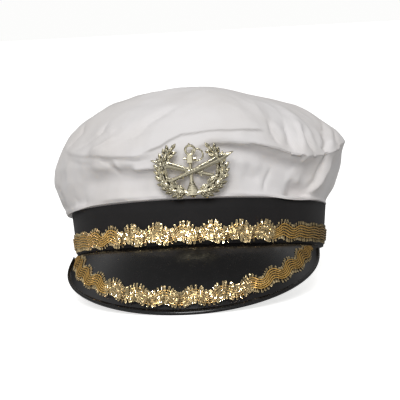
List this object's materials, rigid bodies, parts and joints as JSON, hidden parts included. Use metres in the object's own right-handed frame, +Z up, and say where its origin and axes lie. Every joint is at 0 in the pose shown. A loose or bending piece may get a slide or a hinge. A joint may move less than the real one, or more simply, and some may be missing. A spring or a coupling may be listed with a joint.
{
  "type": "captain's hat",
  "caption": "White cloth yachting cap: a puffed, creased crown over a black band with gold scalloped braid, a glossy curved peak edged in the same braid, and a cast anchor badge.",
  "frame": {"origin": "on the surface the hat rests on, under the middle of its bounding box", "axes": "+Z up from that surface; -Y toward the front, where the peak points; +X toward the wearer's left. The hat leans back 11.5 degrees, lying on the peak's rim and the back of the band as it does by itself."},
  "size_m": [0.2124, 0.2616, 0.1394],
  "materials": {
    "crown_cloth": "white cotton and polyester twill, soft and matt",
    "band_cloth": "black felt-faced woven cloth, matt",
    "patent": "black patent vinyl over a moulded board, glossy",
    "gold_braid": "gimp braid of gilt metallic thread, glinting",
    "badge_metal": "pale gilt die-cast metal, bright on its high places"
  },
  "bodies": {
    "root": {"crown_top": "crown_cloth", "crown_side": "crown_cloth", "band": "band_cloth", "peak": "patent", "band_braid": "gold_braid", "peak_braid": "gold_braid", "badge": "badge_metal", "badge_pin": "badge_metal"}
  },
  "joints": []
}
